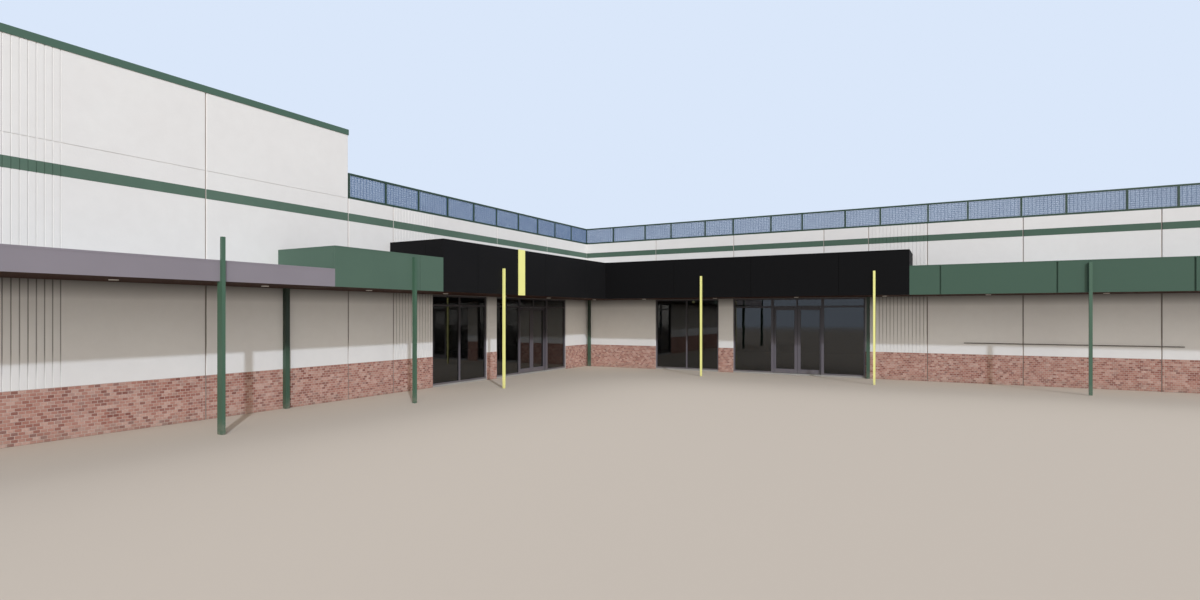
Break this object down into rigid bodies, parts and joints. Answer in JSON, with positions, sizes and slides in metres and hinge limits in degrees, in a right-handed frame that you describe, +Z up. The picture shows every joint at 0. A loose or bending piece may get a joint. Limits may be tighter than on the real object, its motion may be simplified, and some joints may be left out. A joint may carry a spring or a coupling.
{
  "type": "supermarket building",
  "caption": "Single-storey L-shaped supermarket building with precast walls on brick footings, a fascia canopy on posts, a screened roof edge, a tall parapet and sliding entrance doors.",
  "frame": {"origin": "centre of the plan at ground level, the level of the footpath", "axes": "+X east along the north wing, +Y north, +Z up; the shop fronts face south on the north wing and east on the west wing"},
  "size_m": [35.83, 35.23, 7.119],
  "materials": {
    "concrete": "painted precast concrete, matt",
    "brick": "wire-cut clay facing brick, pale mortar",
    "wall_paint_green": "matt masonry paint",
    "sealant": "polyurethane joint sealant",
    "folded_metal_green": "prepainted folded steel, satin",
    "wire_mesh": "powder-coated woven wire",
    "floor_concrete": "steel-trowelled concrete",
    "roof_sheet": "prepainted ribbed steel sheet",
    "primed_steel": "grey primed structural steel",
    "panel_grey": "composite cladding panel, satin",
    "panel_green": "composite cladding panel, satin",
    "panel_black": "composite cladding panel, satin",
    "soffit_brown": "prepainted soffit sheet, matt",
    "lamp_trim": "white cast lamp trim",
    "post_yellow": "powder-coated steel, satin",
    "post_green": "powder-coated steel, satin",
    "frame_charcoal": "powder-coated aluminium, satin",
    "glass": "grey tinted shop glass"
  },
  "bodies": {
    "building": {"west_front_panels": "concrete", "north_front_panels": "concrete", "front_piers": "concrete", "south_end_panels": "concrete", "west_back_panels": "concrete", "north_back_panels": "concrete", "east_end_panels": "concrete", "parapet_return": "concrete", "west_brick_facing": "brick", "north_brick_facing": "brick", "rear_brick_facing": "brick", "painted_stripe": "wall_paint_green", "joint_sealant": "sealant", "parapet_capping": "folded_metal_green", "wall_coping": "folded_metal_green", "west_screen_frame": "folded_metal_green", "north_screen_frame": "folded_metal_green", "screen_mesh": "wire_mesh", "floor_slab": "floor_concrete", "opening_sills": "floor_concrete", "west_roof_deck": "roof_sheet", "north_roof_deck": "roof_sheet", "roof_steel": "primed_steel", "low_fascia": "panel_grey", "green_fascias": "panel_green", "west_entrance_fascia": "panel_black", "north_entrance_fascia": "panel_black", "canopy_soffit": "soffit_brown", "canopy_deck": "roof_sheet", "downlights": "lamp_trim", "yellow_fin": "post_yellow", "green_posts": "post_green", "yellow_posts": "post_yellow", "downpipes": "post_green", "window_frames": "frame_charcoal", "sidelight_frames": "frame_charcoal", "glazing": "glass", "door_tracks": "frame_charcoal"},
    "west_door_south": {"west_leaf_south": "frame_charcoal", "leaf_glass_ws": "glass"},
    "west_door_north": {"west_leaf_north": "frame_charcoal", "leaf_glass_wn": "glass"},
    "north_door_west": {"north_leaf_west": "frame_charcoal", "leaf_glass_nw": "glass"},
    "north_door_east": {"north_leaf_east": "frame_charcoal", "leaf_glass_ne": "glass"}
  },
  "joints": [
    {"name": "west_door_south_slide", "type": "slide", "parent": "building", "child": "west_door_south", "axis": [0, -1, 0], "range_m": [0, 0.78]},
    {"name": "west_door_north_slide", "type": "slide", "parent": "building", "child": "west_door_north", "axis": [0, 1, 0], "range_m": [0, 0.78]},
    {"name": "north_door_west_slide", "type": "slide", "parent": "building", "child": "north_door_west", "axis": [-1, 0, 0], "range_m": [0, 0.78]},
    {"name": "north_door_east_slide", "type": "slide", "parent": "building", "child": "north_door_east", "axis": [1, 0, 0], "range_m": [0, 0.78]}
  ],
  "couplings": [
    {"joint": "west_door_north_slide", "follows": "west_door_south_slide", "ratio": 1},
    {"joint": "north_door_west_slide", "follows": "north_door_east_slide", "ratio": 1}
  ]
}
